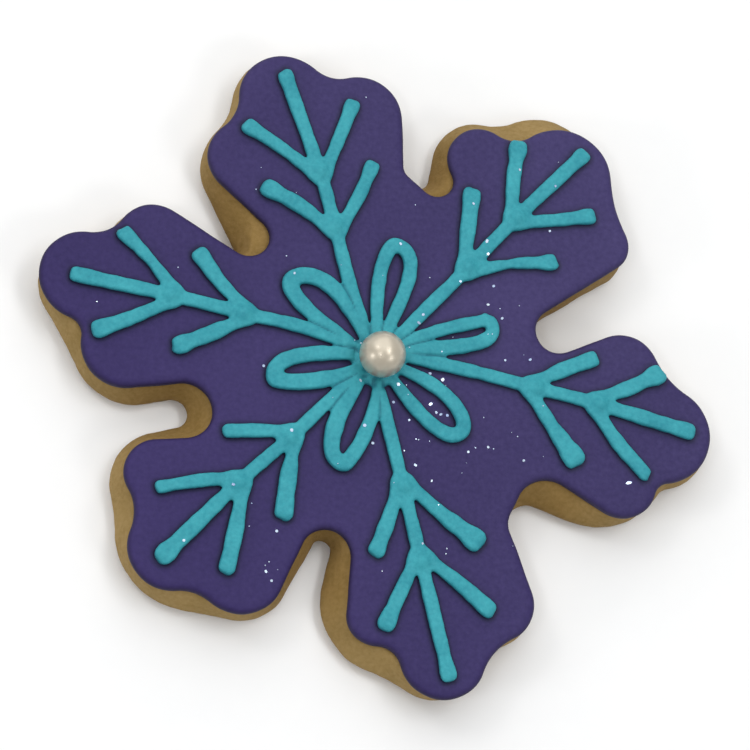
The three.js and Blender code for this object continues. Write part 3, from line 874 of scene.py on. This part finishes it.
def baked_dough():
    material, tree, shader, place = finish_base("baked_dough")
    drift = put_group(tree, DRIFT, place, Main=(0.345, 0.233, 0.091, 1), Other=(0.252, 0.166, 0.053, 1),
                      Patch_Scale=170.0, Fleck_Scale=1500.0, Fleck_Share=0.45)
    low = ranged(tree, height_at(tree, place), 0.75, 0.0, 0.0, 0.0016)
    browned = stained(tree, low, drift.outputs["Color"], (0.27, 0.15, 0.055, 1))
    # painted shade: the walls deep in the bays are darkened, the arm tips left lighter
    flat, far = tree.nodes.new("ShaderNodeVectorMath"), tree.nodes.new("ShaderNodeVectorMath")
    flat.operation, far.operation = "MULTIPLY", "LENGTH"
    flat.inputs[1].default_value = (1, 1, 0)
    tree.links.new(place, flat.inputs[0])
    tree.links.new(flat.outputs["Vector"], far.inputs[0])
    bay_shade_share = ranged(tree, far.outputs["Value"], 1.0, 0.0, 0.035, 0.045)
    shaded_in_bays = stained(tree, bay_shade_share, browned, (0.84, 0.78, 0.66, 1), "MULTIPLY")
    tree.links.new(shaded_in_bays, shader.inputs["Base Color"])
    grain = put_group(tree, GRAIN, place, Grain_Scale=1500.0, Wave_Scale=420.0, Wave_Share=0.45)
    tree.links.new(ranged(tree, grain.outputs["Grain"], 0.78, 0.95), shader.inputs["Roughness"])
    shader.inputs["Specular IOR Level"].default_value = 0.25
    bump(tree, shader, grain.outputs["Height"], 0.22 * MM)
    return material


def purple_icing():
    material, tree, shader, place = finish_base("purple_flood_icing")
    drift = put_group(tree, DRIFT, place, Main=(0.0395, 0.0265, 0.121, 1), Other=(0.024, 0.015, 0.085, 1),
                      Patch_Scale=34.0, Fleck_Scale=1300.0, Fleck_Share=0.45)
    # painted shade: the icing darkened along the piping, as a contact shadow
    piping_shade_share = ranged(tree, painted_on(tree, "painted_contact_shade"), 0.0, 0.85, 0, 0.9)
    darker = stained(tree, piping_shade_share, drift.outputs["Color"], (0.006, 0.008, 0.032, 1))
    # painted shade: the edge that ran down over the biscuit is darkened below the flat top
    low = ranged(tree, height_at(tree, place), 0.75, 0.0, (ICING_TOP - 0.65) * MM, (ICING_TOP - 0.06) * MM)
    rim = stained(tree, low, darker, (0.016, 0.010, 0.034, 1))
    # painted sheen: a pale lilac haze laid over the icing in patches, more of it towards one side
    towards = tree.nodes.new("ShaderNodeVectorMath")
    towards.operation = "DOT_PRODUCT"
    towards.inputs[1].default_value = (0.85, 0.53, 0)
    tree.links.new(place, towards.inputs[0])
    sheen_share = tree.nodes.new("ShaderNodeMath")
    sheen_share.operation = "MULTIPLY"
    tree.links.new(ranged(tree, towards.outputs["Value"], 0.0, 1.0, -0.04, 0.04), sheen_share.inputs[0])
    tree.links.new(ranged(tree, drift.outputs["Mask"], 0.075, 0.04, 0, 1), sheen_share.inputs[1])
    sheened_icing = stained(tree, sheen_share.outputs[0], rim, (0.30, 0.28, 0.50, 1))
    tree.links.new(sheened_icing, shader.inputs["Base Color"])
    grain = put_group(tree, GRAIN, place, Grain_Scale=2200.0, Wave_Scale=95.0, Wave_Share=0.72)
    tree.links.new(ranged(tree, grain.outputs["Grain"], 0.52, 0.66), shader.inputs["Roughness"])
    shader.inputs["Specular IOR Level"].default_value = 0.2
    bump(tree, shader, grain.outputs["Height"], 0.045 * MM)
    return material


def turquoise_icing():
    material, tree, shader, place = finish_base("turquoise_piping_icing")
    drift = put_group(tree, DRIFT, place, Main=(0.045, 0.368, 0.425, 1), Other=(0.019, 0.25, 0.312, 1),
                      Patch_Scale=280.0, Fleck_Scale=1500.0, Fleck_Share=0.45)
    # painted shade: the foot of each bead darkened just above the icing
    low = ranged(tree, height_at(tree, place), 0.75, 0.0, (ICING_TOP + 0.1) * MM, (ICING_TOP + 0.75) * MM)
    shaded_foot = stained(tree, low, drift.outputs["Color"], (0.012, 0.09, 0.15, 1))
    # painted shade: the creases between strands lying side by side are darkened
    fold_shade_share = ranged(tree, painted_on(tree, "crease_shade"), 0.0, 0.7, 0, 1)
    shaded_folds = stained(tree, fold_shade_share, shaded_foot, (0.006, 0.11, 0.16, 1))
    tree.links.new(shaded_folds, shader.inputs["Base Color"])
    grain = put_group(tree, GRAIN, place, Grain_Scale=2000.0, Wave_Scale=520.0, Wave_Share=0.45)
    tree.links.new(ranged(tree, grain.outputs["Grain"], 0.55, 0.72), shader.inputs["Roughness"])
    shader.inputs["Specular IOR Level"].default_value = 0.3
    bump(tree, shader, grain.outputs["Height"], 0.11 * MM)
    return material


def pearl_lustre():
    material, tree, shader, place = finish_base("sugar_pearl_lustre")
    drift = put_group(tree, DRIFT, place, Main=(0.60, 0.54, 0.43, 1), Other=(0.54, 0.47, 0.36, 1),
                      Patch_Scale=300.0, Fleck_Scale=2600.0, Fleck_Share=0.12)
    tree.links.new(drift.outputs["Color"], shader.inputs["Base Color"])
    grain = put_group(tree, GRAIN, place, Grain_Scale=2600.0, Wave_Scale=600.0, Wave_Share=0.85)
    tree.links.new(ranged(tree, grain.outputs["Grain"], 0.3, 0.38), shader.inputs["Roughness"])
    shader.inputs["Metallic"].default_value = 0.4
    shader.inputs["Coat Weight"].default_value = 1.0
    shader.inputs["Coat Roughness"].default_value = 0.31
    bump(tree, shader, grain.outputs["Height"], 0.008 * MM)
    return material


def glitter_shine():
    material, tree, shader, place = finish_base("edible_glitter")
    drift = put_group(tree, DRIFT, place, Main=(0.66, 0.76, 0.86, 1), Other=(0.30, 0.40, 0.66, 1),
                      Patch_Scale=160.0, Fleck_Scale=700.0, Fleck_Share=0.5)
    tree.links.new(drift.outputs["Color"], shader.inputs["Base Color"])
    tree.links.new(ranged(tree, drift.outputs["Mask"], 0.2, 0.4, 0, 1), shader.inputs["Roughness"])
    shader.inputs["Metallic"].default_value = 0.35
    shader.inputs["Coat Weight"].default_value = 0.8
    return material


def table_top():
    material, tree, shader, place = finish_base("pale_table")
    drift = put_group(tree, DRIFT, place, Main=(0.92, 0.92, 0.915, 1), Other=(0.9, 0.9, 0.9, 1),
                      Patch_Scale=6.0, Fleck_Scale=300.0, Fleck_Share=0.3)
    tree.links.new(drift.outputs["Color"], shader.inputs["Base Color"])
    tree.links.new(ranged(tree, drift.outputs["Mask"], 0.75, 0.85, 0, 1), shader.inputs["Roughness"])
    shader.inputs["Specular IOR Level"].default_value = 0.1
    return material


# ---- glitter ----
# the flakes that catch the light most: x, y, size
BRIGHT_FLAKES = [
    (18.6, 12.8, 0.5), (17.6, 9.8, 0.5), (19.7, 7.7, 0.5), (8.2, -1.4, 0.5), (10.1, -2.3, 0.6),
    (8.1, -6.2, 0.6), (8.9, -7.5, 0.5), (9.6, -7.8, 0.5), (10.6, -7.9, 0.5), (2.4, -6.1, 0.5),
    (4.7, -8.8, 0.4), (13.6, -13.5, 0.45), (16.7, -12.7, 0.45), (22.1, -14.6, 0.45),
    (5.4, -15.8, 0.5), (7.8, -18.2, 0.4), (-1.0, -12.6, 0.5), (-17.3, -1.1, 0.5),
    (38.3, -17.6, 0.75), (-16.0, -26.6, 0.5), (-17.8, -32.8, 0.5), (-17.0, -34.2, 0.45),
    (23.8, 1.3, 0.5), (19.9, 1.1, 0.4), (27.8, 22.0, 0.4),
    (7.2, 7.5, 0.5), (6.5, 6.2, 0.55), (13.2, 13, 0.45), (17.6, 19.6, 0.6), (17.7, 17.6, 0.5),
    (15.7, 25.5, 0.45), (23.2, 31.3, 0.45), (28.7, 28.9, 0.4), (-2.4, -10.2, 0.6),
    (3.0, -3.6, 0.6),
    (-2.8, -3.2, 0.5), (4.1, 18.6, 0.5), (-13.6, -11.4, 0.6), (-22.6, -20, 0.5),
    (-30.2, -28.7, 0.5), (5.8, -28.2, 0.4), (-12.4, 13.3, 0.4),
]


def dust_with_glitter(icing, piping):
    """Thin six-sided flakes that lie where they fell: the bright ones, and a faint scatter."""
    draw = random.Random(41)
    spots = [(x, y, size * 0.95) for x, y, size in BRIGHT_FLAKES]
    while len(spots) < 110:
        near = draw.random() < 0.55
        x = draw.gauss(9, 12) if near else draw.uniform(-45, 45)
        y = draw.gauss(-6, 13) if near else draw.uniform(-45, 45)
        spots.append((x, y, draw.uniform(0.1, 0.24)))
    vertices, faces = [], []
    for x, y, size in spots:
        above, down = Vector((x, y, 30)) * MM, Vector((0, 0, -1))
        best = None
        for surface in (piping, icing):
            hit, where, normal, _ = surface.ray_cast(above, down)
            if hit and (best is None or where.z > best[0].z):
                best = (where, normal)
        if best is None or best[0].z < (ICING_TOP - 0.2) * MM or math.hypot(x, y) < 3.6:
            continue
        where, normal = best
        lean = Vector((draw.uniform(-0.35, 0.35), draw.uniform(-0.35, 0.35), 1)).normalized()
        up = (normal.normalized() + lean).normalized()
        aside = up.orthogonal().normalized()
        aside.rotate(Matrix.Rotation(draw.uniform(0, math.pi), 3, up))
        if size > LONG_FLAKE:
            aside = Vector((1, 0.25, 0)).cross(up).cross(up).normalized()
        other = up.cross(aside)
        long = draw.uniform(0.9, 1.25) if size < LONG_FLAKE else 1.5
        first = len(vertices)
        for level in (0.0, FLAKE_THICK):
            for k in range(6):
                turn = math.pi * k / 3
                p = where / MM + up * (level + 0.03)
                p = p + aside * (size / 2 * long * math.cos(turn))
                p = p + other * (size / 2 / long * math.sin(turn))
                vertices.append(tuple(p))
        faces.append(tuple(first + k for k in range(5, -1, -1)))
        faces.append(tuple(first + 6 + k for k in range(6)))
        faces += [(first + k, first + (k + 1) % 6, first + 6 + (k + 1) % 6, first + 6 + k) for k in range(6)]
    return new_piece("glitter_flakes", vertices, faces, smooth=False)


# ---- table, light and camera ----
def lay_the_table():
    bpy.ops.mesh.primitive_plane_add(size=6.0, location=(0, 0, 0))
    table = bpy.context.object
    table.name = "table_top"
    table.data.materials.append(table_top())


def soft_panel(name, way, distance, width, height, watts, tint=(1, 1, 1)):
    lamp = bpy.data.lights.new(name, "AREA")
    lamp.shape = "RECTANGLE"
    lamp.size, lamp.size_y = width, height
    lamp.energy = watts
    lamp.color = tint
    panel = bpy.data.objects.new(name, lamp)
    way = Vector(way).normalized()
    panel.location = way * distance
    panel.rotation_euler = way.to_track_quat("Z", "Y").to_euler()
    bpy.context.collection.objects.link(panel)
    return panel


def light_the_room():
    world = bpy.data.worlds.new("soft_room")
    world.use_nodes = True
    sky = world.node_tree.nodes["Background"]
    sky.inputs["Color"].default_value = (0.97, 0.985, 1.0, 1)
    sky.inputs["Strength"].default_value = 0.41
    bpy.context.scene.world = world
    soft_panel("overhead_softbox", (-0.2, 0.95, 1.25), 1.5, 2.2, 2.2, 15.5)
    soft_panel("right_window_high", (0.318, -0.004, 0.948), 1.1, 0.55, 0.22, 2.2)
    soft_panel("right_window_low", (0.508, -0.522, 0.685), 1.1, 0.34, 0.2, 1.3)
    soft_panel("ceiling_lamp", (-0.405, -0.284, 0.869), 1.1, 0.3, 0.12, 1.0)
    soft_panel("left_window_high", (-0.551, 0.368, 0.75), 1.1, 0.26, 0.2, 0.8)
    soft_panel("left_window_low", (-0.885, -0.279, 0.373), 1.1, 0.24, 0.22, 1.3)
    view = bpy.context.scene.view_settings
    view.view_transform = "Standard"
    view.look = "None"


def set_the_camera():
    """Looks down from the lower left, 21.5 degrees off the vertical."""
    tilt, heading = math.radians(21.5), math.radians(234)
    along = Vector((math.cos(heading), math.sin(heading), 0))
    across = Vector((-math.sin(heading), math.cos(heading), 0))
    back = along * math.sin(tilt) + Vector((0, 0, 1)) * math.cos(tilt)
    fall = along * math.cos(tilt) - Vector((0, 0, 1)) * math.sin(tilt)
    right = fall * math.cos(heading) - across * math.sin(heading)
    up = fall * math.sin(heading) + across * math.cos(heading)
    data = bpy.data.cameras.new("camera")
    data.sensor_width = 36.0
    data.lens = 243.2
    data.shift_x, data.shift_y = -0.00067, -0.0144
    data.clip_start, data.clip_end = 0.05, 20.0
    camera = bpy.data.objects.new("camera", data)
    turn = Matrix((right, up, back)).transposed()
    camera.matrix_world = Matrix.Translation(Vector((0, 0, 7.0)) * MM + back * 0.760) @ turn.to_4x4()
    bpy.context.collection.objects.link(camera)
    bpy.context.scene.camera = camera


# ---- the whole cookie ----
biscuit = bake_biscuit()
biscuit.data.materials.append(baked_dough())
piping = pipe_the_snowflake(turquoise_icing())
icing = flood_the_top(piping)
icing.data.materials.append(purple_icing())
pearl = set_the_pearl()
pearl.data.materials.append(pearl_lustre())
glitter = dust_with_glitter(icing, piping)
glitter.data.materials.append(glitter_shine())

for piece, node in ((biscuit, "biscuit"), (icing, "flood_icing"), (piping, "piping"), (pearl, "sugar_pearl")):
    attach(piece, "root")
    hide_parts(node)
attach(glitter, "root")

lay_the_table()
light_the_room()
set_the_camera()

for piece in (biscuit, icing, piping, pearl, glitter):
    print(piece.name, "triangles", sum(len(f.vertices) - 2 for f in piece.data.polygons))
